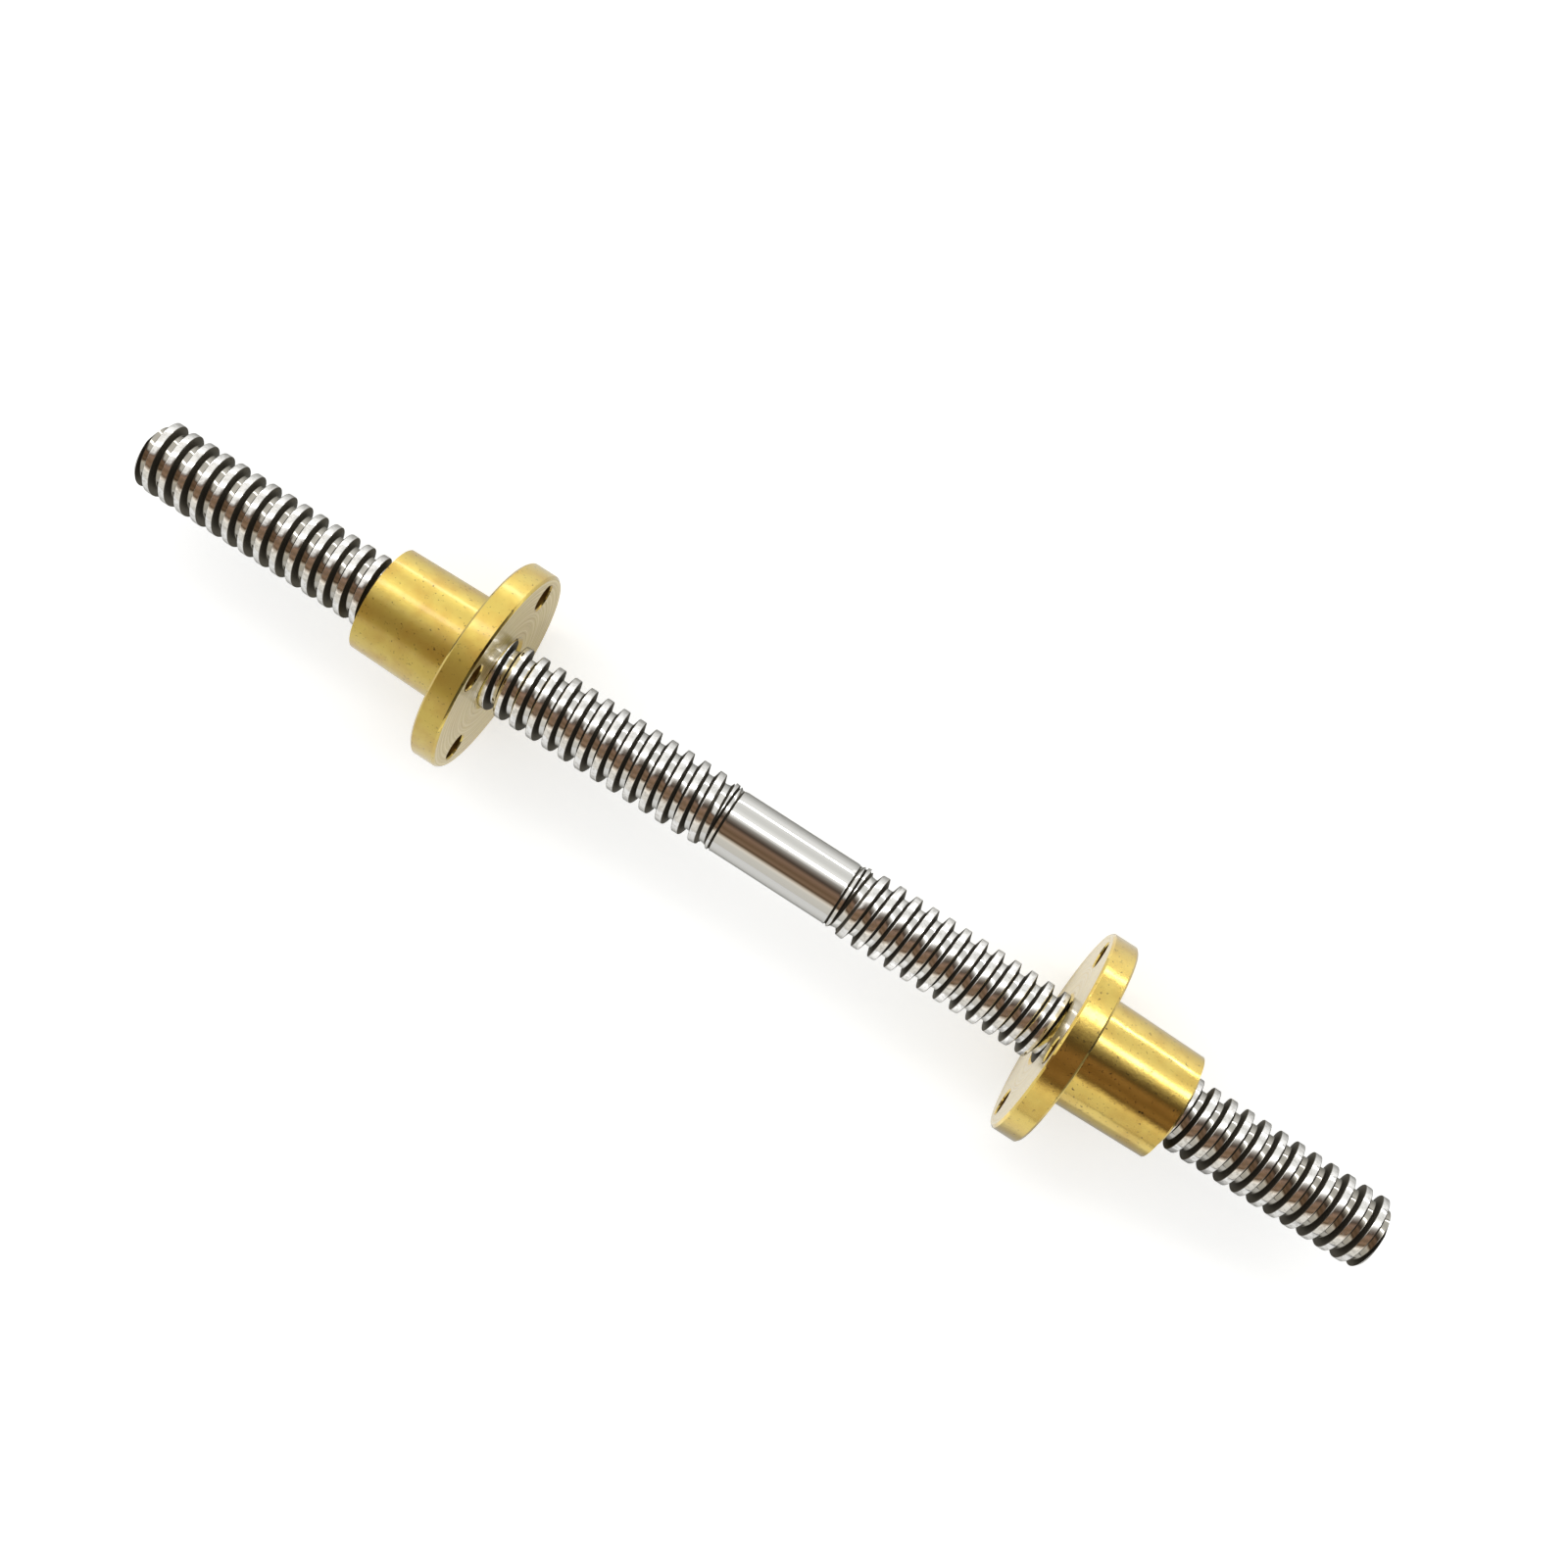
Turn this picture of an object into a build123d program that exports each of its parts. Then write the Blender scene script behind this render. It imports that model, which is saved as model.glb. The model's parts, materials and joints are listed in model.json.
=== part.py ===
from build123d import *
import os

os.makedirs("parts", exist_ok=True)

# A lead screw that opens and closes like a vice. One half has a right-hand trapezoidal
# thread and the other a left-hand one, with a short plain length between them, and a
# flanged brass nut runs on each half with its flange turned to the middle. Turning the
# screw one way draws the nuts together, and turning it the other way drives them apart.
#
# The screw lies along X, and the origin is on its axis, half way along it.
# Sizes are in millimetres. The threaded lengths are at the thread's outer diameter.

# The screw: its three lengths, the thread over its crests, how far the crests stand
# above the plain length, how long they take to die away, and the ends' chamfer
right_hand_length = 72
plain_length = 14
left_hand_length = 64
thread_diameter = 8
crest_rise = 0.4
runout_length = 3
end_chamfer = 0.6

# The nut, from the screw outward: running clearance in the bore, the hub's wall, the room
# for a screw head between the hub and each hole's middle, and the rim outside the holes
bore_clearance = 0.05
hub_wall = 1.95
screw_head_room = 3.2
rim_width = 2.55
nut_length = 15
flange_thickness = 3
bolt_hole_diameter = 3
bolt_hole_count = 4

# The nut's broken edges: bore mouths, hub end, flange rim and hole mouths
bore_lead_in = 0.4
hub_chamfer = 0.6
flange_chamfer = 0.25
bolt_hole_chamfer = 0.15

# Where the nuts stand: from the plain length to each flange face, and how far both are
# turned on the screw, in degrees, with their holes in line as two carriages hold them
left_nut_gap = 28.5
right_nut_gap = 25.5
nut_turn = 8

screw_length = right_hand_length + plain_length + left_hand_length
screw_left_end = -screw_length / 2
screw_right_end = screw_length / 2
plain_start = screw_left_end + right_hand_length
plain_end = screw_right_end - left_hand_length
thread_radius = thread_diameter / 2
plain_radius = thread_radius - crest_rise
bore_radius = thread_radius + bore_clearance
hub_radius = bore_radius + hub_wall
bolt_circle_radius = hub_radius + screw_head_room
flange_radius = bolt_circle_radius + rim_width


# The screw is one turned bar, thinner where it is left plain. The thread was rolled up
# from the plain diameter, so it dies away in a short cone on each side of the plain length.
with BuildPart() as lead_screw:
    with BuildSketch(Plane.XZ):
        with BuildLine():
            Polyline(
                (screw_left_end, 0),
                (screw_left_end, thread_radius - end_chamfer),
                (screw_left_end + end_chamfer, thread_radius),
                (plain_start - runout_length, thread_radius),
                (plain_start, plain_radius),
                (plain_end, plain_radius),
                (plain_end + runout_length, thread_radius),
                (screw_right_end - end_chamfer, thread_radius),
                (screw_right_end, thread_radius - end_chamfer),
                (screw_right_end, 0),
                close=True,
            )
        make_face()
    revolve(axis=Axis.X)

lead_screw.part.label = "lead_screw"
export_step(lead_screw.part, "parts/lead_screw.step")


def flanged_nut(face_x, outward):
    """A nut with its flange face at face_x and its hub pointing outward, 1 or -1 along X."""
    first_hole = Vector(0, 1, 0).rotate(Axis.X, nut_turn)
    flange_face = Plane(origin=(face_x, 0, 0), x_dir=first_hole, z_dir=(outward, 0, 0))
    along_nut = Axis((face_x, 0, 0), (outward, 0, 0))
    with BuildPart() as nut:
        with BuildSketch(flange_face):
            Circle(flange_radius)
        extrude(amount=flange_thickness)
        chamfer(nut.edges().filter_by(GeomType.CIRCLE), flange_chamfer)

        with BuildSketch(flange_face.offset(flange_thickness)):
            Circle(hub_radius)
        extrude(amount=nut_length - flange_thickness)
        chamfer(nut.edges().filter_by(GeomType.CIRCLE).sort_by(along_nut)[-1], hub_chamfer)

        with BuildSketch(flange_face):
            Circle(bore_radius)
        extrude(amount=nut_length, mode=Mode.SUBTRACT)
        chamfer(nut.edges(Select.LAST).filter_by(GeomType.CIRCLE), bore_lead_in)

        with BuildSketch(flange_face):
            with PolarLocations(bolt_circle_radius, bolt_hole_count):
                Circle(bolt_hole_diameter / 2)
        extrude(amount=flange_thickness, mode=Mode.SUBTRACT)
        chamfer(nut.edges(Select.LAST).filter_by(GeomType.CIRCLE), bolt_hole_chamfer)
    return nut


left_nut = flanged_nut(plain_start - left_nut_gap, -1)
left_nut.part.label = "left_nut"
export_step(left_nut.part, "parts/left_nut.step")

right_nut = flanged_nut(plain_end + right_nut_gap, 1)
right_nut.part.label = "right_nut"
export_step(right_nut.part, "parts/right_nut.step")
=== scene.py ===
import json
import math

import bmesh
import bpy
from mathutils import Matrix, Vector


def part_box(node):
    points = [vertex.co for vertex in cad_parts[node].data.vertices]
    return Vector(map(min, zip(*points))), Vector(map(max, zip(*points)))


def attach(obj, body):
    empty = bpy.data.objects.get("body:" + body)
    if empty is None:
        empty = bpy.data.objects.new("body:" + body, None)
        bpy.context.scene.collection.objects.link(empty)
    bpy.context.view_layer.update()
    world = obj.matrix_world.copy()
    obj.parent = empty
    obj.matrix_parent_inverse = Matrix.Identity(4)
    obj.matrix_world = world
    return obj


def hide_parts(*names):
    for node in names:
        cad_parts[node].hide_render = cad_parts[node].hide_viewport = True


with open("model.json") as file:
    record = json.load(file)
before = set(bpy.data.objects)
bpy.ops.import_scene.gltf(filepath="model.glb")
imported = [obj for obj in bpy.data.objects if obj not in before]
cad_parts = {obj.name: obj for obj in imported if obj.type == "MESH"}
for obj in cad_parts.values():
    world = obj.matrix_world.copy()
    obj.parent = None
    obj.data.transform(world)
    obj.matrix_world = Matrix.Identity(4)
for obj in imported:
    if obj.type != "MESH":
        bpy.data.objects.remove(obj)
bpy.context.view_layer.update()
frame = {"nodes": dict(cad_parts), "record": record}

# A left- and right-hand lead screw and its two flanged nuts, seen from above as they
# lie on a pale sheet. The screw runs along X. Sizes are in millimetres, and each
# mesh is scaled to metres when it is finished.
MM = 0.001

mounts = {mount["name"]: mount for mount in frame["record"]["mounts"]}


def reach(node):
    """A node's largest radius about the screw's axis."""
    corners = frame["nodes"][node].data.vertices
    return max(math.hypot(corner.co.y, corner.co.z) for corner in corners) / MM


# The bar: its ends, its crests, the plain length between the threads, and the run-out in
# which each thread dies away into it, as a power of the distance left
SCREW_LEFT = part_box("lead_screw")[0].x / MM
SCREW_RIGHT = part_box("lead_screw")[1].x / MM
CREST_RADIUS = mounts["left_end"]["dims"]["r_mm"]
PLAIN_RADIUS = 3.6
PLAIN_START = -3
PLAIN_END = 11
PLAIN_MIDDLE = (PLAIN_START + PLAIN_END) / 2
PLAIN_HALF = (PLAIN_END - PLAIN_START) / 2
RUNOUT = 3
RUNOUT_POWER = 0.7
END_CHAMFER = 0.6
# The turning tool left rings at each end of the plain length, this far from its middle
RING_DISTANCES = (7.15, 7.75, 8.4)
RING_DEPTH = 0.14

# The thread: a 2 mm pitch, 30 degree trapezoid with the corners that rolling rounds off.
# The phase, in turns, sets where the crests come.
PITCH = 2
ROOT_RADIUS = 3.05
CREST_WIDTH = 0.78
ROOT_WIDTH = 0.66
CREST_CORNER = 0.12
ROOT_CORNER = 0.14
THREAD_PHASE = 0.5

# The nuts: the hub, the screw holes, and the x of each flange's hub side
HUB_RADIUS = mounts["left_hub"]["dims"]["r_mm"]
BOLT_CIRCLE_RADIUS = mounts["left_bolts"]["dims"]["pcd_mm"] / 2
HOLE_RADIUS = mounts["left_bolts"]["dims"]["hole_r_mm"]
HOLE_COUNT = mounts["left_bolts"]["dims"]["count"]
FIRST_HOLE = math.radians(8)
LEFT_SEAT = mounts["left_bolts"]["pos_m"][0] / MM
RIGHT_SEAT = mounts["right_bolts"]["pos_m"][0] / MM
HOLE_CHAMFER = 0.15
FLANGE_BEVEL = 0.25
BROKEN_EDGE = 0.04
HUB_ROOT = 0.12
HUB_EDGE = 0.5
MOUTH_RADIUS = 4.45
THREAD_CLEARANCE = 0.1

# How finely round things are drawn
LATHE_STEPS = 144
HOLE_STEPS = 48
TURN_STEPS = 64
CORNER_STEPS = 3
# How many turns a coil goes on past what it has to reach, and how far the other tools
# reach past what they cut
SPARE_TURNS = 2
SPARE = 0.5
# The shortest edge that is kept, the steepest fold that is still shaded smooth, and the
# lean along X under which a face of a drill is its wall and not its bevel
WELD = 0.001
SHARP_ANGLE = math.radians(34)
WALL_LEAN = 0.5


def rounded(outline, radii):
    """The outline's points, with each corner between the first and last rounded by its radius."""
    points = [Vector(outline[0])]
    for before, corner, after, radius in zip(outline, outline[1:], outline[2:], radii):
        before, corner, after = Vector(before), Vector(corner), Vector(after)
        into = (before - corner).normalized()
        out = (after - corner).normalized()
        half = into.angle(out) / 2
        middle = corner + (into + out).normalized() * radius / math.sin(half)
        start = corner + into * radius / math.tan(half) - middle
        turn = (math.pi - 2 * half) * math.copysign(1, start.cross(out))
        for step in range(CORNER_STEPS + 1):
            share = turn * step / CORNER_STEPS
            points.append(middle + Matrix.Rotation(share, 2) @ start)
    return points + [Vector(outline[-1])]


def lathe(outline, finishes, steps=LATHE_STEPS, centre=(0, 0), finish=0):
    """A solid turned about a line along X through centre.

    The outline is in pairs of a place along X and a radius, which is 0 at both its ends.
    """
    mesh = bmesh.new()
    rings = []
    for along, radius in outline:
        ring = []
        for step in range(steps if radius else 1):
            angle = math.tau * step / steps
            y = centre[0] + radius * math.cos(angle)
            z = centre[1] + radius * math.sin(angle)
            ring.append(mesh.verts.new((along, y, z)))
        rings.append(ring if radius else ring * steps)
    for ring, following in zip(rings, rings[1:]):
        for here in range(steps):
            there = (here + 1) % steps
            corners = (ring[here], ring[there], following[there], following[here])
            mesh.faces.new(dict.fromkeys(corners))
    return solid(mesh, finishes, finish)


def coil(farthest, nearest, profile, shape):
    """A right-hand thread along X, from the farthest turn to the nearest.

    Turns are counted to the left from zero. The profile is one pitch, in pairs of a place
    along X and a radius, and shape(along, radius) gives the radius at each point.
    """
    mesh = bmesh.new()
    rows = []
    for step in range((farthest - nearest) * TURN_STEPS + 1):
        angle = math.tau * step / TURN_STEPS
        row = []
        for offset, radius in profile:
            along = (step / TURN_STEPS - farthest - THREAD_PHASE) * PITCH + offset
            radius = shape(along, radius)
            row.append(mesh.verts.new((along, radius * math.cos(angle), radius * math.sin(angle))))
        rows.append(row)
    for step, (row, following) in enumerate(zip(rows, rows[1:])):
        for near in range(len(profile) - 1):
            mesh.faces.new((row[near], following[near], following[near + 1], row[near + 1]))
        if step + 1 + TURN_STEPS < len(rows):
            turn_on, turn_on_following = rows[step + TURN_STEPS : step + TURN_STEPS + 2]
            mesh.faces.new((row[-1], following[-1], turn_on_following[0], turn_on[0]))
    return mesh


def solid(mesh, finishes, finish=0):
    """An object made of the mesh, closed at its ends, in the numbered one of its finishes."""
    bmesh.ops.holes_fill(mesh, edges=mesh.edges)
    bmesh.ops.recalc_face_normals(mesh, faces=mesh.faces)
    for face in mesh.faces:
        face.material_index = finish
    data = bpy.data.meshes.new("solid")
    mesh.to_mesh(data)
    mesh.free()
    for material in finishes:
        data.materials.append(material)
    piece = bpy.data.objects.new("solid", data)
    bpy.context.scene.collection.objects.link(piece)
    return piece


def cut(piece, tool, operation="DIFFERENCE"):
    """Cuts the piece with the tool, and removes the tool."""
    boolean = piece.modifiers.new("cut", "BOOLEAN")
    boolean.solver = "EXACT"
    boolean.operation = operation
    boolean.object = tool
    graph = bpy.context.evaluated_depsgraph_get()
    result = bpy.data.meshes.new_from_object(piece.evaluated_get(graph))
    piece.modifiers.clear()
    piece.data = result
    bpy.data.objects.remove(tool)


def thread_profile(clearance):
    """One pitch of the trapezoid from root to root, moved outward and widened by the clearance."""
    flank = (PITCH - CREST_WIDTH - ROOT_WIDTH) / 2
    root, crest = ROOT_RADIUS + clearance, CREST_RADIUS + clearance
    root_side = (ROOT_WIDTH - clearance) / 2
    crest_side = root_side + flank
    outline = [
        (0, root),
        (root_side, root),
        (crest_side, crest),
        (PITCH - crest_side, crest),
        (PITCH - root_side, root),
        (PITCH, root),
    ]
    return rounded(outline, [ROOT_CORNER, CREST_CORNER, CREST_CORNER, ROOT_CORNER])[1:-1]


def finish_piece(piece, body, node):
    """Names, scales and shades a finished mesh, and hangs it on its body in place of its node."""
    piece.name = piece.data.name = node + "_finished"
    piece.data.transform(Matrix.Scale(MM, 4))
    mesh = bmesh.new()
    mesh.from_mesh(piece.data)
    bmesh.ops.dissolve_degenerate(mesh, edges=mesh.edges, dist=WELD * MM)
    for face in mesh.faces:
        face.smooth = True
    for edge in mesh.edges:
        edge.smooth = edge.calc_face_angle(0) < SHARP_ANGLE
    mesh.to_mesh(piece.data)
    mesh.free()
    piece.modifiers.new("even_shading", "WEIGHTED_NORMAL").keep_sharp = True
    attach(piece, body)
    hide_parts(node)


# The bar and the nuts. Each has two finishes: the first is its own, and the second is
# for the bar's cut ends and for the inside of a nut's bore and holes.


def along_bar(along, radius):
    """The thread's radius, where crest and root both come to the plain length over the run-out."""
    full = min(1, max(0, (-PLAIN_HALF - along) / RUNOUT)) ** RUNOUT_POWER
    return PLAIN_RADIUS + (radius - PLAIN_RADIUS) * full


def make_screw(finishes):
    """The bar. Its left half is wound with the plain length's middle at zero, and mirrored."""
    longest = max(PLAIN_MIDDLE - SCREW_LEFT, SCREW_RIGHT - PLAIN_MIDDLE)
    farthest = math.ceil(longest / PITCH) + SPARE_TURNS
    mesh = coil(farthest, -SPARE_TURNS, thread_profile(0), along_bar)
    half = mesh.verts[:] + mesh.edges[:] + mesh.faces[:]
    bmesh.ops.bisect_plane(mesh, geom=half, plane_co=(0, 0, 0), plane_no=(1, 0, 0), clear_outer=True)
    half = mesh.verts[:] + mesh.edges[:] + mesh.faces[:]
    bmesh.ops.mirror(mesh, geom=half, axis="X", merge_dist=WELD)
    bmesh.ops.translate(mesh, verts=mesh.verts, vec=(PLAIN_MIDDLE, 0, 0))
    screw = solid(mesh, finishes)
    end_radius = CREST_RADIUS - END_CHAMFER
    stock_radius = CREST_RADIUS + SPARE
    slope = stock_radius - end_radius
    faced = [
        (SCREW_LEFT, 0),
        (SCREW_LEFT, end_radius),
        (SCREW_LEFT + slope, stock_radius),
        (SCREW_RIGHT - slope, stock_radius),
        (SCREW_RIGHT, end_radius),
        (SCREW_RIGHT, 0),
    ]
    cut(screw, lathe(faced, finishes, finish=1), "INTERSECT")
    rings = [PLAIN_MIDDLE - distance for distance in reversed(RING_DISTANCES)]
    rings += [PLAIN_MIDDLE + distance for distance in RING_DISTANCES]
    ringed = [(SCREW_LEFT - SPARE, 0), (SCREW_LEFT - SPARE, stock_radius)]
    for ring in rings:
        ringed += [
            (ring - RING_DEPTH, stock_radius),
            (ring - RING_DEPTH, PLAIN_RADIUS),
            (ring, PLAIN_RADIUS - RING_DEPTH),
            (ring + RING_DEPTH, PLAIN_RADIUS),
            (ring + RING_DEPTH, stock_radius),
        ]
    ringed += [(SCREW_RIGHT + SPARE, stock_radius), (SCREW_RIGHT + SPARE, 0)]
    cut(screw, lathe(ringed, finishes), "INTERSECT")
    return screw


def make_nut(face, length, flange, radius, finishes):
    """A nut on the right-hand thread, with its hub to the left of its flange.

    The plain length's middle is at zero here. Face is the x of the flange's right side,
    length is the nut's, and flange and radius are the flange's thickness and radius.
    """
    hub_face = face - flange
    end = face - length
    # The mouths are sunk at 45 degrees as far as the axis, and the tap takes what is left between
    blank = [
        (face - MOUTH_RADIUS, 0),
        (face, MOUTH_RADIUS),
        (face, radius - FLANGE_BEVEL),
        (face - FLANGE_BEVEL, radius),
        (hub_face + FLANGE_BEVEL, radius),
        (hub_face, radius - FLANGE_BEVEL),
        (hub_face, HUB_RADIUS),
        (end, HUB_RADIUS),
        (end, MOUTH_RADIUS),
        (end + MOUTH_RADIUS, 0),
    ]
    nut = lathe(rounded(blank, [BROKEN_EDGE] * 5 + [HUB_ROOT, HUB_EDGE, BROKEN_EDGE]), finishes)
    # The tap stands out one turn more in front of the flange than past the hub
    farthest = math.ceil(-end / PITCH) + SPARE_TURNS
    nearest = math.floor(-face / PITCH) - SPARE_TURNS - 1
    tap = coil(farthest, nearest, thread_profile(THREAD_CLEARANCE), lambda along, radius: radius)
    cut(nut, solid(tap, finishes, finish=1))
    drill_end = HOLE_RADIUS + HOLE_CHAMFER + SPARE
    drill = [
        (face + SPARE, 0),
        (face + SPARE, drill_end),
        (face - HOLE_CHAMFER, HOLE_RADIUS),
        (hub_face + HOLE_CHAMFER, HOLE_RADIUS),
        (hub_face - SPARE, drill_end),
        (hub_face - SPARE, 0),
    ]
    for hole in range(HOLE_COUNT):
        angle = FIRST_HOLE + math.tau * hole / HOLE_COUNT
        centre = (BOLT_CIRCLE_RADIUS * math.cos(angle), BOLT_CIRCLE_RADIUS * math.sin(angle))
        tool = lathe(drill, finishes, steps=HOLE_STEPS, centre=centre)
        # The wall has the second finish, and the bevels at its mouths keep the first
        for side in tool.data.polygons:
            side.material_index = abs(side.normal.x) < WALL_LEAN
        cut(nut, tool)
    return nut


def place_nut(node, hand, seat, finishes):
    """Makes a nut in its place.

    Hand is 1 on the right-hand thread and -1 on the left-hand one, which is its mirror
    image, and seat is the x of the flange's hub side.
    """
    low, high = (corner.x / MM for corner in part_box(node))
    inner = high if hand == 1 else low
    nut = make_nut((inner - PLAIN_MIDDLE) * hand, high - low, abs(inner - seat), reach(node), finishes)
    nut.data.transform(Matrix.Translation((PLAIN_MIDDLE, 0, 0)) @ Matrix.Diagonal((hand, 1, 1, 1)))
    if hand == -1:
        nut.data.flip_normals()
    return nut


# Materials. A mix node's sockets go by number: the share of its second input, its two
# inputs as numbers or as colours, and the mixed colour.
SHARE = 0
NUMBER_A = 2
NUMBER_B = 3
COLOUR_A = 6
COLOUR_B = 7
MIXED_COLOUR = 2

# How far a surface leans along X, from 0 on a cylinder's wall to 1 on a flat end: where
# a thread's flank begins and where it is full, the same for a nut's flat faces, and the
# 45 degree bevels between wall and face
FLANK_START = 0.22
FLANK_FULL = 0.7
FACE_START = 0.9
FACE_FULL = 0.97
BEVEL_LEAN = 0.7
BEVEL_SPREAD = 0.12

# The sizes of the patterns, and how deep the bumps are. A lathe's feed is about 0.1 mm a
# turn, which is too fine to show, so its rings are drawn wider.
SCUFF_SIZE = 0.4
SCUFF_DEPTH = 0.006
END_RING_SIZE = 0.25
END_RING_DEPTH = 0.04
NUT_RING_SIZE = 0.3
PATCH_SIZE = 2.5
GRAIN_SIZE = 0.35
NUT_BUMP_DEPTH = 0.008
# The tool's chatter has the same wide waves as the tarnish, so many times as high as its rings
CHATTER = 10.0

# How rough each surface is, how much rougher the brass is where it has tarnished, and
# how metallic its flat faces look
POLISHED_ROUGHNESS = 0.06
SCUFFED_ROUGHNESS = 0.24
FLANK_ROUGHNESS = 0.45
FACE_ROUGHNESS = 0.45
BEVEL_ROUGHNESS = 0.08
TARNISH_DULLS = 0.08
FACE_METALLIC = 0.8

# The bar's roots turn darker from the first to the second of these distances from its
# middle, and painted shade darkens the corner between a nut's hub and flange this near to it
ROOT_DARKENING_START = 35
ROOT_DARKENING_FULL = 60
CORNER_SHADE_START = 0.5
CORNER_SHADE_FULL = 0.3


def linear(hex_colour):
    """A colour given as sRGB hex, in the linear values that the shaders use."""
    shares = [int(hex_colour[at : at + 2], 16) / 255 for at in (1, 3, 5)]
    return (*(s / 12.92 if s <= 0.04045 else ((s + 0.055) / 1.055) ** 2.4 for s in shares), 1)


def add(tree, kind, inputs, **settings):
    """Adds a node. For each socket, inputs holds a value or another node's output."""
    node = tree.nodes.new(kind)
    for name, value in settings.items():
        setattr(node, name, value)
    for socket, value in inputs.items():
        if isinstance(value, bpy.types.NodeSocket):
            tree.links.new(value, node.inputs[socket])
        else:
            node.inputs[socket].default_value = value
    return node


def new_material(name):
    """A material with no nodes yet."""
    material = bpy.data.materials.new(name)
    material.use_nodes = True
    material.node_tree.nodes.clear()
    return material, material.node_tree


def place_of(tree):
    """The surface's place in millimetres."""
    surface = add(tree, "ShaderNodeTexCoord", {})
    place = add(
        tree,
        "ShaderNodeVectorMath",
        {0: surface.outputs["Object"], "Scale": 1 / MM},
        operation="SCALE",
    )
    return place.outputs[0]


def radius_of(tree, place):
    """The place's distance from the bar's axis."""
    across = add(tree, "ShaderNodeVectorMath", {0: place, 1: (0, 1, 1)}, operation="MULTIPLY")
    radius = add(tree, "ShaderNodeVectorMath", {0: across.outputs[0]}, operation="LENGTH")
    return radius.outputs["Value"]


def lean_of(tree):
    """How far the surface leans along X: 0 on a cylinder's wall, and 1 on a flat end."""
    surface = add(tree, "ShaderNodeTexCoord", {})
    facing = add(tree, "ShaderNodeSeparateXYZ", {0: surface.outputs["Normal"]})
    lean = add(tree, "ShaderNodeMath", {0: facing.outputs["X"]}, operation="ABSOLUTE")
    return lean.outputs[0]


def rolled_steel():
    """Stainless steel, thread-rolled.

    The dies leave crests and roots near mirrors. The crests are painted brighter than the
    roots, a painted highlight, and the flanks are painted dark, a painted shade.
    """
    material, tree = new_material("rolled_stainless_steel")
    place = place_of(tree)
    flank = add(
        tree,
        "ShaderNodeMapRange",
        {"Value": lean_of(tree), "From Min": FLANK_START, "From Max": FLANK_FULL},
        interpolation_type="SMOOTHSTEP",
    )
    crest = add(
        tree,
        "ShaderNodeMapRange",
        {"Value": radius_of(tree, place), "From Min": PLAIN_RADIUS, "From Max": CREST_RADIUS},
    )
    # The crests are scuffed where they have rubbed on the nuts
    scuffs = add(tree, "ShaderNodeTexNoise", {"Vector": place, "Scale": 1 / SCUFF_SIZE, "Detail": 4.0})
    scuffed = add(
        tree,
        "ShaderNodeMapRange",
        {"Value": scuffs.outputs[0], "From Min": 0.45, "From Max": 0.65},
    )
    worn = add(
        tree,
        "ShaderNodeMath",
        {0: crest.outputs[0], 1: scuffed.outputs[0]},
        operation="MULTIPLY",
    )
    # Painted highlight: the crests are painted brighter than the roots and the plain length, and duller
    # where scuffed
    painted_crest_light_and_scuffs = add(
        tree,
        "ShaderNodeMix",
        {SHARE: worn.outputs[0], COLOUR_A: linear("#F4F3F1"), COLOUR_B: linear("#DAD8D5")},
        data_type="RGBA",
    )
    apart = add(tree, "ShaderNodeSeparateXYZ", {0: place})
    from_middle = add(
        tree,
        "ShaderNodeMath",
        {0: apart.outputs["X"], 1: PLAIN_MIDDLE},
        operation="SUBTRACT",
    )
    outward = add(tree, "ShaderNodeMath", {0: from_middle.outputs[0]}, operation="ABSOLUTE")
    roots_darker_outward = add(
        tree,
        "ShaderNodeMapRange",
        {"Value": outward.outputs[0], "From Min": ROOT_DARKENING_START, "From Max": ROOT_DARKENING_FULL},
    )
    root = add(
        tree,
        "ShaderNodeMix",
        {SHARE: roots_darker_outward.outputs[0], COLOUR_A: linear("#D9D8D5"), COLOUR_B: linear("#B0ACA3")},
        data_type="RGBA",
    )
    bright = add(
        tree,
        "ShaderNodeMix",
        {
            SHARE: crest.outputs[0],
            COLOUR_A: root.outputs[MIXED_COLOUR],
            COLOUR_B: painted_crest_light_and_scuffs.outputs[MIXED_COLOUR],
        },
        data_type="RGBA",
    )
    # Painted shade: the flanks are painted dark
    colour = add(
        tree,
        "ShaderNodeMix",
        {
            SHARE: flank.outputs[0],
            COLOUR_A: bright.outputs[MIXED_COLOUR],
            COLOUR_B: linear("#68645B"),
        },
        data_type="RGBA",
    )
    shine = add(
        tree,
        "ShaderNodeMapRange",
        {
            "Value": worn.outputs[0],
            "To Min": POLISHED_ROUGHNESS,
            "To Max": SCUFFED_ROUGHNESS,
        },
    )
    roughness = add(
        tree,
        "ShaderNodeMix",
        {SHARE: flank.outputs[0], NUMBER_A: shine.outputs[0], NUMBER_B: FLANK_ROUGHNESS},
        data_type="FLOAT",
    )
    height = add(
        tree,
        "ShaderNodeMath",
        {0: crest.outputs[0], 1: scuffs.outputs[0]},
        operation="MULTIPLY",
    )
    bump = add(
        tree,
        "ShaderNodeBump",
        {"Height": height.outputs[0], "Strength": 0.4, "Distance": SCUFF_DEPTH * MM},
    )
    shader = add(
        tree,
        "ShaderNodeBsdfPrincipled",
        {
            "Base Color": colour.outputs[MIXED_COLOUR],
            "Metallic": 1.0,
            "Roughness": roughness.outputs[0],
            "Specular Tint": linear("#BCBCBA"),
            "Normal": bump.outputs[0],
        },
    )
    add(tree, "ShaderNodeOutputMaterial", {"Surface": shader.outputs[0]})
    return material


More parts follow.
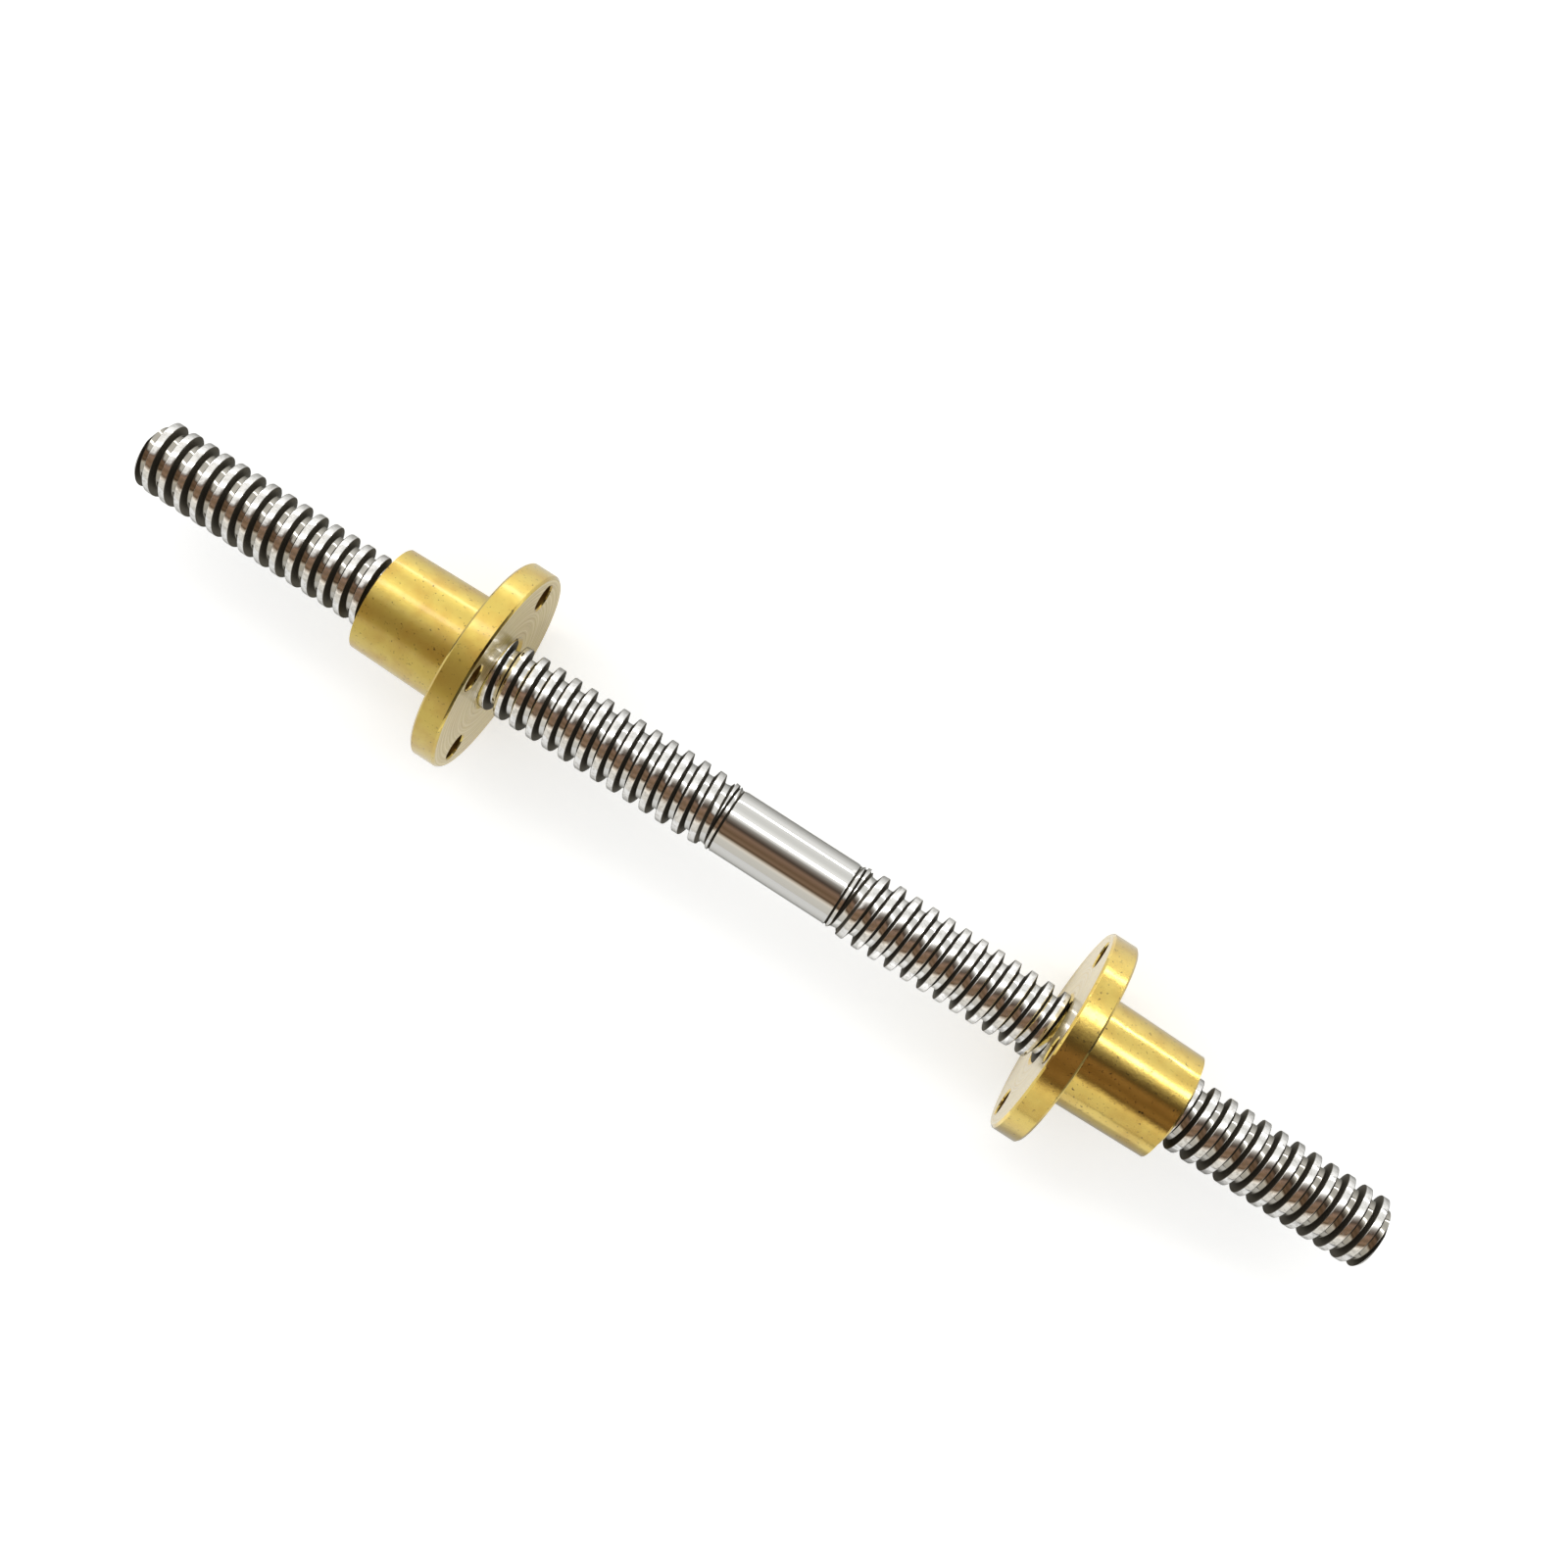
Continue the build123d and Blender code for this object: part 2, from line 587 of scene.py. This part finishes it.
def faced_steel():
    """The bar's cut ends, faced and chamfered on a lathe: ringed, and duller than the thread."""
    material, tree = new_material("faced_stainless_steel")
    rings = add(
        tree,
        "ShaderNodeTexNoise",
        {"W": radius_of(tree, place_of(tree)), "Scale": 1 / END_RING_SIZE, "Detail": 3.0},
        noise_dimensions="1D",
    )
    streaks = add(
        tree,
        "ShaderNodeMapRange",
        {"Value": rings.outputs[0], "From Min": 0.35, "From Max": 0.65},
    )
    colour = add(
        tree,
        "ShaderNodeMix",
        {SHARE: streaks.outputs[0], COLOUR_A: linear("#C9C7C2"), COLOUR_B: linear("#98958F")},
        data_type="RGBA",
    )
    bump = add(
        tree,
        "ShaderNodeBump",
        {"Height": rings.outputs[0], "Strength": 1.0, "Distance": END_RING_DEPTH * MM},
    )
    shader = add(
        tree,
        "ShaderNodeBsdfPrincipled",
        {
            "Base Color": colour.outputs[MIXED_COLOUR],
            "Metallic": 1.0,
            "Roughness": 0.3,
            "Normal": bump.outputs[0],
        },
    )
    add(tree, "ShaderNodeOutputMaterial", {"Surface": shader.outputs[0]})
    return material


def turned_brass(name, corner, fresh, tarnished, pale, polish, metallic):
    """Free-cutting brass as turned: yellow, ringed by the tool, faintly tarnished and pitted.

    Corner is the x of the plane in which the hub meets its flange, where painted shade lies
    dark brown. Fresh and tarnished are the colours of the turned walls, polish is their
    roughness and metallic how metallic they look. Pale is a painted sheen on the flat faces, in
    streaks.
    """
    material, tree = new_material(name)
    place = place_of(tree)
    radius = radius_of(tree, place)
    lean = lean_of(tree)
    apart = add(tree, "ShaderNodeSeparateXYZ", {0: place})
    along = add(tree, "ShaderNodeMath", {0: radius, 1: apart.outputs["X"]}, operation="ADD")
    rings = add(
        tree,
        "ShaderNodeTexNoise",
        {"W": along.outputs[0], "Scale": 1 / NUT_RING_SIZE, "Detail": 3.0},
        noise_dimensions="1D",
    )
    patches = add(tree, "ShaderNodeTexNoise", {"Vector": place, "Scale": 1 / PATCH_SIZE, "Detail": 5.0})
    tarnish = add(
        tree,
        "ShaderNodeMapRange",
        {"Value": patches.outputs[0], "From Min": 0.4, "From Max": 0.7},
    )
    grain = add(tree, "ShaderNodeTexNoise", {"Vector": place, "Scale": 1 / GRAIN_SIZE, "Detail": 2.0})
    pits = add(
        tree,
        "ShaderNodeMapRange",
        {"Value": grain.outputs[0], "From Min": 0.64, "From Max": 0.78},
    )
    # Painted shade: dark brown in the corner between hub and flange
    beside_axis = add(tree, "ShaderNodeCombineXYZ", {0: apart.outputs["X"], 1: radius})
    from_corner = add(
        tree,
        "ShaderNodeVectorMath",
        {0: beside_axis.outputs[0], 1: (corner, HUB_RADIUS, 0)},
        operation="DISTANCE",
    )
    corner_shade = add(
        tree,
        "ShaderNodeMapRange",
        {
            "Value": from_corner.outputs["Value"],
            "From Min": CORNER_SHADE_START,
            "From Max": CORNER_SHADE_FULL,
        },
    )
    pits_and_corner_shade = add(tree, "ShaderNodeMath", {0: pits.outputs[0], 1: corner_shade.outputs[0]}, operation="MAXIMUM")
    worn = add(
        tree,
        "ShaderNodeMix",
        {SHARE: tarnish.outputs[0], COLOUR_A: linear(fresh), COLOUR_B: linear(tarnished)},
        data_type="RGBA",
    )
    # Pits, and the painted shade in the hub's corner, darken the walls
    wall = add(
        tree,
        "ShaderNodeMix",
        {
            SHARE: pits_and_corner_shade.outputs[0],
            COLOUR_A: worn.outputs[MIXED_COLOUR],
            COLOUR_B: linear("#4A3818"),
        },
        data_type="RGBA",
    )
    wall_roughness = add(
        tree,
        "ShaderNodeMapRange",
        {"Value": tarnish.outputs[0], "To Min": polish, "To Max": polish + TARNISH_DULLS},
    )
    # The flat faces came off the facing tool streaked and duller, and carry a pale painted
    # sheen in the streaks; the bevels are burnished
    streaks = add(
        tree,
        "ShaderNodeMapRange",
        {"Value": rings.outputs[0], "From Min": 0.3, "From Max": 0.8},
    )
    streaked_painted_sheen = add(
        tree,
        "ShaderNodeMix",
        {SHARE: streaks.outputs[0], COLOUR_A: linear(pale), COLOUR_B: wall.outputs[MIXED_COLOUR]},
        data_type="RGBA",
    )
    flat = add(
        tree,
        "ShaderNodeMapRange",
        {"Value": lean, "From Min": FACE_START, "From Max": FACE_FULL},
    )
    bevel = add(
        tree,
        "ShaderNodeMath",
        {0: lean, 1: BEVEL_LEAN, 2: BEVEL_SPREAD},
        operation="COMPARE",
    )
    colour = add(
        tree,
        "ShaderNodeMix",
        {
            SHARE: flat.outputs[0],
            COLOUR_A: wall.outputs[MIXED_COLOUR],
            COLOUR_B: streaked_painted_sheen.outputs[MIXED_COLOUR],
        },
        data_type="RGBA",
    )
    flat_roughness = add(
        tree,
        "ShaderNodeMix",
        {
            SHARE: flat.outputs[0],
            NUMBER_A: wall_roughness.outputs[0],
            NUMBER_B: FACE_ROUGHNESS,
        },
        data_type="FLOAT",
    )
    roughness = add(
        tree,
        "ShaderNodeMix",
        {
            SHARE: bevel.outputs[0],
            NUMBER_A: flat_roughness.outputs[0],
            NUMBER_B: BEVEL_ROUGHNESS,
        },
        data_type="FLOAT",
    )
    flat_metal = add(
        tree,
        "ShaderNodeMapRange",
        {"Value": flat.outputs[0], "To Min": metallic, "To Max": FACE_METALLIC},
    )
    metal = add(
        tree,
        "ShaderNodeMath",
        {0: flat_metal.outputs[0], 1: bevel.outputs[0]},
        operation="MAXIMUM",
    )
    fine = add(tree, "ShaderNodeMath", {0: rings.outputs[0], 1: grain.outputs[0]}, operation="ADD")
    height = add(
        tree,
        "ShaderNodeMath",
        {0: patches.outputs[0], 1: CHATTER, 2: fine.outputs[0]},
        operation="MULTIPLY_ADD",
    )
    bump = add(
        tree,
        "ShaderNodeBump",
        {"Height": height.outputs[0], "Strength": 0.6, "Distance": NUT_BUMP_DEPTH * MM},
    )
    # The coat is the film of oil that the nuts wear, a softer shine over the brass's own
    shader = add(
        tree,
        "ShaderNodeBsdfPrincipled",
        {
            "Base Color": colour.outputs[MIXED_COLOUR],
            "Metallic": metal.outputs[0],
            "Roughness": roughness.outputs[0],
            "Specular Tint": linear("#F0EBDC"),
            "Normal": bump.outputs[0],
            "Coat Weight": 1.0,
            "Coat Roughness": 0.15,
        },
    )
    add(tree, "ShaderNodeOutputMaterial", {"Surface": shader.outputs[0]})
    return material


def drilled_brass():
    """Brass inside the screw holes and the tapped bore, torn by the tool, and painted dark: painted
    shade in these hollows.
    """
    material, tree = new_material("drilled_brass")
    shader = add(
        tree,
        "ShaderNodeBsdfPrincipled",
        {"Base Color": linear("#7A5C2A"), "Metallic": 1.0, "Roughness": 0.45},
    )
    add(tree, "ShaderNodeOutputMaterial", {"Surface": shader.outputs[0]})
    return material


# The sheet of paper that the flanges rest on is 4 m square and lifted to white for the
# camera. The metal mirrors it paler in front of the bar, far behind it, and in a band
# that crosses the bar left of the right nut. It is darker in a spot in front of that
# nut and beyond the right end. These shade the metal as the photo has it.
PAPER_SIZE = 4
PAPER_LIFT = 0.45
# Along Y, in front of the bar and far behind it
FRONT_START = 4
FRONT_FULL = -4
FRONT_LIFT = 0.2
FAR_START = 12
FAR_FULL = 50
FAR_LIFT = 0.35
# Along X, in the band and beyond the right end
BAND_MIDDLE = 26
BAND_HALF = 10
BAND_LIFT = 0.3
BEYOND_START = 90
BEYOND_FULL = 140
# The spot, which is full within its radius and fades out at its reach
SPOT = (49, -18, 0)
SPOT_RADIUS = 12
SPOT_REACH = 22
SPOT_SHADE = 0.6


def pale_paper():
    """Matt white paper, lifted for the camera and shaded for the metal that mirrors it."""
    material, tree = new_material("pale_paper")
    place = place_of(tree)
    apart = add(tree, "ShaderNodeSeparateXYZ", {0: place})
    rays = add(tree, "ShaderNodeLightPath", {})
    mirrored = add(
        tree,
        "ShaderNodeMath",
        {0: rays.outputs["Is Glossy Ray"], 1: rays.outputs["Is Transmission Ray"]},
        operation="MAXIMUM",
    )
    front = add(
        tree,
        "ShaderNodeMapRange",
        {
            "Value": apart.outputs["Y"],
            "From Min": FRONT_START,
            "From Max": FRONT_FULL,
            "To Max": FRONT_LIFT,
        },
    )
    far = add(
        tree,
        "ShaderNodeMapRange",
        {
            "Value": apart.outputs["Y"],
            "From Min": FAR_START,
            "From Max": FAR_FULL,
            "To Max": FAR_LIFT,
        },
    )
    either = add(tree, "ShaderNodeMath", {0: front.outputs[0], 1: far.outputs[0]}, operation="ADD")
    band = add(
        tree,
        "ShaderNodeMath",
        {0: apart.outputs["X"], 1: BAND_MIDDLE, 2: BAND_HALF},
        operation="COMPARE",
    )
    pale = add(
        tree,
        "ShaderNodeMath",
        {0: band.outputs[0], 1: BAND_LIFT, 2: either.outputs[0]},
        operation="MULTIPLY_ADD",
    )
    in_mirror = add(
        tree,
        "ShaderNodeMath",
        {0: mirrored.outputs[0], 1: pale.outputs[0]},
        operation="MULTIPLY",
    )
    lift = add(
        tree,
        "ShaderNodeMath",
        {0: rays.outputs["Is Camera Ray"], 1: PAPER_LIFT, 2: in_mirror.outputs[0]},
        operation="MULTIPLY_ADD",
    )
    from_spot = add(tree, "ShaderNodeVectorMath", {0: place, 1: SPOT}, operation="DISTANCE")
    spot = add(
        tree,
        "ShaderNodeMapRange",
        {
            "Value": from_spot.outputs["Value"],
            "From Min": SPOT_REACH,
            "From Max": SPOT_RADIUS,
            "To Max": SPOT_SHADE,
        },
    )
    beyond = add(
        tree,
        "ShaderNodeMapRange",
        {"Value": apart.outputs["X"], "From Min": BEYOND_START, "From Max": BEYOND_FULL},
    )
    dark = add(tree, "ShaderNodeMath", {0: beyond.outputs[0], 1: spot.outputs[0]}, operation="MAXIMUM")
    unlit = add(
        tree,
        "ShaderNodeMath",
        {0: mirrored.outputs[0], 1: dark.outputs[0]},
        operation="MULTIPLY",
    )
    colour = add(
        tree,
        "ShaderNodeMix",
        {SHARE: unlit.outputs[0], COLOUR_A: linear("#E6E6E4"), COLOUR_B: linear("#3C3835")},
        data_type="RGBA",
    )
    shader = add(
        tree,
        "ShaderNodeBsdfPrincipled",
        {
            "Base Color": colour.outputs[MIXED_COLOUR],
            "Roughness": 0.9,
            "Specular IOR Level": 0.0,
            "Emission Color": linear("#FFFFFF"),
            "Emission Strength": lift.outputs[0],
        },
    )
    add(tree, "ShaderNodeOutputMaterial", {"Surface": shader.outputs[0]})
    return material


def lay_paper():
    """The sheet lies under the flanges."""
    bpy.ops.mesh.primitive_plane_add(size=PAPER_SIZE, location=(0, 0, -reach("left_nut") * MM))
    sheet = bpy.context.object
    sheet.name = "paper_sheet"
    sheet.data.materials.append(pale_paper())


# The studio is turned a little from the bar. Metal sees its white tent by the angle from
# straight up towards the front, with -180 the floor behind: pale at the back, a dark gap
# overhead where the camera looks in, and an even white front. Along X, the right end is
# open and dark, and on the left the pale back reaches straight overhead.
STUDIO_TURN = math.radians(12)
BACK = Vector((-math.sin(STUDIO_TURN), math.cos(STUDIO_TURN), 0))
UP = Vector((0, 0, 1))
TENT_BRIGHTNESS = 1.3
TENT = [
    (-180, "#CACAC8"),
    (-112, "#D0D0CE"),
    (-102, "#F0F0EE"),
    (-80, "#E4E4E2"),
    (-68, "#D6D6D3"),
    (-56, "#D8D8D5"),
    (-44, "#F2F2F0"),
    (-26, "#EDECE9"),
    (-18, "#99958F"),
    (-9, "#6A6159"),
    (-1, "#453A31"),
    (10, "#7F6654"),
    (24, "#68523D"),
    (34, "#7C6450"),
    (43, "#54422F"),
    (49, "#B5A898"),
    (55, "#DDD6CB"),
    (64, "#CBC8C0"),
    (112, "#C2BFB9"),
    (140, "#CECDCA"),
]
# How far along X a direction points where the tent begins to open on the right and where
# it is fully open, and the share of its light that is left there
OPEN_END_START = 0.6
OPEN_END_FULL = 0.85
OPEN_END_LIGHT = 0.15
# The same for its left side, the share of the gap that is filled there, and the angles
# between which that fades in towards the back
LEFT_SIDE_START = -0.15
LEFT_SIDE_FULL = -0.3
LEFT_SIDE_FILL = 0.85
FILL_START = math.radians(4)
FILL_FULL = math.radians(-6)
# What lights the paper evenly, and what the camera sees past it
EVEN_LIGHT = 0.7
BACKDROP_LIGHT = 1.0


def light_tent():
    """The world: the tent for metal, even light for what is matt, and white for the camera."""
    world = bpy.data.worlds.new("light_tent")
    bpy.context.scene.world = world
    world.use_nodes = True
    tree = world.node_tree
    tree.nodes.clear()
    direction = add(tree, "ShaderNodeTexCoord", {})
    toward = add(tree, "ShaderNodeSeparateXYZ", {0: direction.outputs["Generated"]})
    front = add(
        tree,
        "ShaderNodeVectorMath",
        {0: direction.outputs["Generated"], 1: -BACK},
        operation="DOT_PRODUCT",
    )
    angle = add(
        tree,
        "ShaderNodeMath",
        {0: front.outputs["Value"], 1: toward.outputs["Z"]},
        operation="ARCTAN2",
    )
    share = add(
        tree,
        "ShaderNodeMapRange",
        {"Value": angle.outputs[0], "From Min": -math.pi, "From Max": math.pi},
    )
    tent = add(tree, "ShaderNodeValToRGB", {"Fac": share.outputs[0]})
    stops = tent.color_ramp.elements
    stops.remove(stops[1])
    stops[0].color = linear(TENT[0][1])
    for degrees, colour in TENT[1:]:
        stops.new((degrees + 180) / 360).color = linear(colour)
    left_side = add(
        tree,
        "ShaderNodeMapRange",
        {
            "Value": toward.outputs["X"],
            "From Min": LEFT_SIDE_START,
            "From Max": LEFT_SIDE_FULL,
            "To Max": LEFT_SIDE_FILL,
        },
    )
    behind = add(
        tree,
        "ShaderNodeMapRange",
        {"Value": angle.outputs[0], "From Min": FILL_START, "From Max": FILL_FULL},
    )
    lighter = add(
        tree,
        "ShaderNodeMath",
        {0: left_side.outputs[0], 1: behind.outputs[0]},
        operation="MULTIPLY",
    )
    glow = add(
        tree,
        "ShaderNodeMix",
        {SHARE: lighter.outputs[0], COLOUR_A: tent.outputs[0], COLOUR_B: linear("#E8E6E2")},
        data_type="RGBA",
    )
    brightness = add(
        tree,
        "ShaderNodeMapRange",
        {
            "Value": toward.outputs["X"],
            "From Min": OPEN_END_START,
            "From Max": OPEN_END_FULL,
            "To Min": TENT_BRIGHTNESS,
            "To Max": TENT_BRIGHTNESS * OPEN_END_LIGHT,
        },
    )
    mirrored = add(
        tree,
        "ShaderNodeBackground",
        {"Color": glow.outputs[MIXED_COLOUR], "Strength": brightness.outputs[0]},
    )
    even = add(tree, "ShaderNodeBackground", {"Color": linear("#FFFFFF"), "Strength": EVEN_LIGHT})
    white = add(tree, "ShaderNodeBackground", {"Color": linear("#FFFFFF"), "Strength": BACKDROP_LIGHT})
    rays = add(tree, "ShaderNodeLightPath", {})
    lighting = add(
        tree,
        "ShaderNodeMixShader",
        {0: rays.outputs["Is Glossy Ray"], 1: even.outputs[0], 2: mirrored.outputs[0]},
    )
    straight = add(
        tree,
        "ShaderNodeMath",
        {0: rays.outputs["Is Camera Ray"], 1: rays.outputs["Is Transmission Ray"]},
        operation="MAXIMUM",
    )
    backdrop = add(
        tree,
        "ShaderNodeMixShader",
        {0: straight.outputs[0], 1: lighting.outputs[0], 2: white.outputs[0]},
    )
    add(tree, "ShaderNodeOutputWorld", {"Surface": backdrop.outputs[0]})


# Two strip lamps behind the bar, one high and one low down, with sizes in metres. Each
# has its tilt from straight up in degrees, its width and its radiance.
STRIP_LAMPS = {"high_strip": (34, 0.1, 3.2), "low_strip": (87, 0.06, 4.5)}
LAMP_DISTANCE = 0.6
LAMP_LENGTH = 1.4


def hang_lamps():
    """The lamps face the origin, and the camera doesn't see them."""
    for name, (degrees, width, radiance) in STRIP_LAMPS.items():
        tilt = math.radians(degrees)
        light = bpy.data.lights.new(name, "AREA")
        light.shape = "RECTANGLE"
        light.size = LAMP_LENGTH
        light.size_y = width
        light.energy = radiance * math.pi * LAMP_LENGTH * width
        lamp = bpy.data.objects.new(name, light)
        bpy.context.scene.collection.objects.link(lamp)
        lamp.location = (BACK * math.sin(tilt) + UP * math.cos(tilt)) * LAMP_DISTANCE
        lamp.rotation_euler = (-tilt, 0, STUDIO_TURN)
        lamp.visible_camera = False


# The camera: where it stands, the point it looks at, and how far its frame is turned
# from the bar. The focal length is in pixels of a frame 1600 pixels wide, the sensor's
# width in millimetres, and the nearest that is seen in metres.
FRAME_PIXELS = 1600
FOCAL_PIXELS = 2079.5
SENSOR = 36
NEAREST_SEEN = 0.01
EYE = Vector((11.24, 10.79, 210.38)) * MM
AIM = Vector((-0.17, 6.34, 0)) * MM
FRAME_TURN = math.radians(32.66)


def set_camera():
    """The photo's view."""
    camera_data = bpy.data.cameras.new("camera")
    camera_data.sensor_width = SENSOR
    camera_data.lens = SENSOR * FOCAL_PIXELS / FRAME_PIXELS
    camera_data.clip_start = NEAREST_SEEN
    camera = bpy.data.objects.new("camera", camera_data)
    bpy.context.scene.collection.objects.link(camera)
    frame_top = Vector((-math.sin(FRAME_TURN), math.cos(FRAME_TURN), 0))
    ahead = (AIM - EYE).normalized()
    across = ahead.cross(frame_top).normalized()
    upward = across.cross(ahead)
    turned = Matrix((across, upward, -ahead)).transposed().to_4x4()
    camera.matrix_world = Matrix.Translation(EYE) @ turned
    bpy.context.scene.camera = camera
    bpy.context.scene.view_settings.view_transform = "Standard"


steel = [rolled_steel(), faced_steel()]
inside = drilled_brass()
# The left nut is satin and the right one nearly polished, as the photo has them
satin_brass = turned_brass(
    "satin_turned_brass",
    corner=LEFT_SEAT,
    fresh="#D5BC58",
    tarnished="#C8A546",
    pale="#F7E4A4",
    polish=0.38,
    metallic=0.86,
)
bright_brass = turned_brass(
    "bright_turned_brass",
    corner=RIGHT_SEAT,
    fresh="#E8CB66",
    tarnished="#D8B553",
    pale="#EBDCAC",
    polish=0.13,
    metallic=1.0,
)
finish_piece(make_screw(steel), "screw", "lead_screw")
left_nut = place_nut("left_nut", 1, LEFT_SEAT, [satin_brass, inside])
finish_piece(left_nut, "left_nut", "left_nut")
right_nut = place_nut("right_nut", -1, RIGHT_SEAT, [bright_brass, inside])
finish_piece(right_nut, "right_nut", "right_nut")
lay_paper()
light_tent()
hang_lamps()
set_camera()
